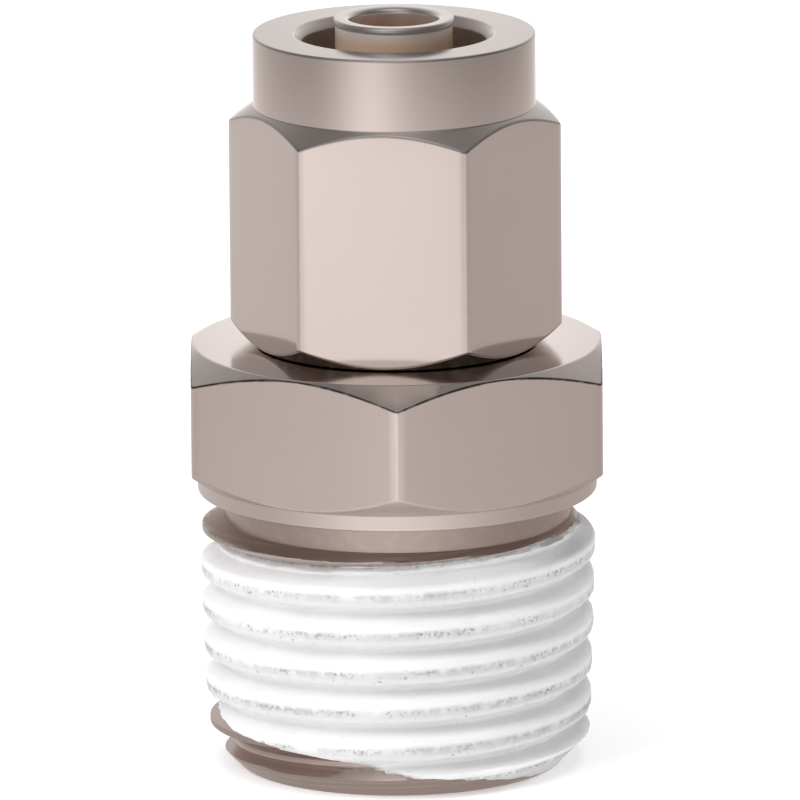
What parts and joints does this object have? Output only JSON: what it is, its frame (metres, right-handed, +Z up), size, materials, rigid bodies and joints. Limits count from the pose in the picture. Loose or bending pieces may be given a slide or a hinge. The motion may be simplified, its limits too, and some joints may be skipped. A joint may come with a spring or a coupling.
{
  "type": "push-on tube fitting",
  "caption": "Straight male push-on tube fitting: hexagonal body with a sealant-coated taper pipe thread, barbed tube stem and a hexagonal union nut.",
  "frame": {"origin": "middle of the taper thread's end face, which is the bottom of the part", "axes": "+Z up the flow axis towards the tube; +X square to a flat of the body hexagon; one corner of that hexagon points to -Y"},
  "size_m": [0.0138, 0.016, 0.0256],
  "materials": {
    "nickel_plated_body": "satin nickel plate on turned brass",
    "nickel_plated_nut": "satin nickel plate on turned brass",
    "stem_metal": "bright nickel plate on brass, smooth",
    "sealant_coat": "white thread sealant, matt, slightly rough, speckled where it is thin",
    "sleeve_plastic": "natural acetal, smooth"
  },
  "bodies": {
    "fitting": {"fitting_body": "nickel_plated_body", "tube_stem": "stem_metal", "thread_sealant": "sealant_coat"},
    "sleeve": {"clamp_sleeve": "sleeve_plastic"},
    "nut": {"union_nut": "nickel_plated_nut"}
  },
  "joints": [
    {"name": "nut_travel", "type": "slide", "parent": "fitting", "child": "sleeve", "axis": [0, 0, 1], "range_m": [0, 0.00375]},
    {"name": "nut_turn", "type": "hinge", "parent": "sleeve", "child": "nut", "pos_m": [0, 0, 0.0145], "axis": [0, 0, 1], "range_deg": [0, 1800]}
  ],
  "couplings": [
    {"joint": "nut_turn", "follows": "nut_travel", "rad_per_m": 8377.6}
  ]
}
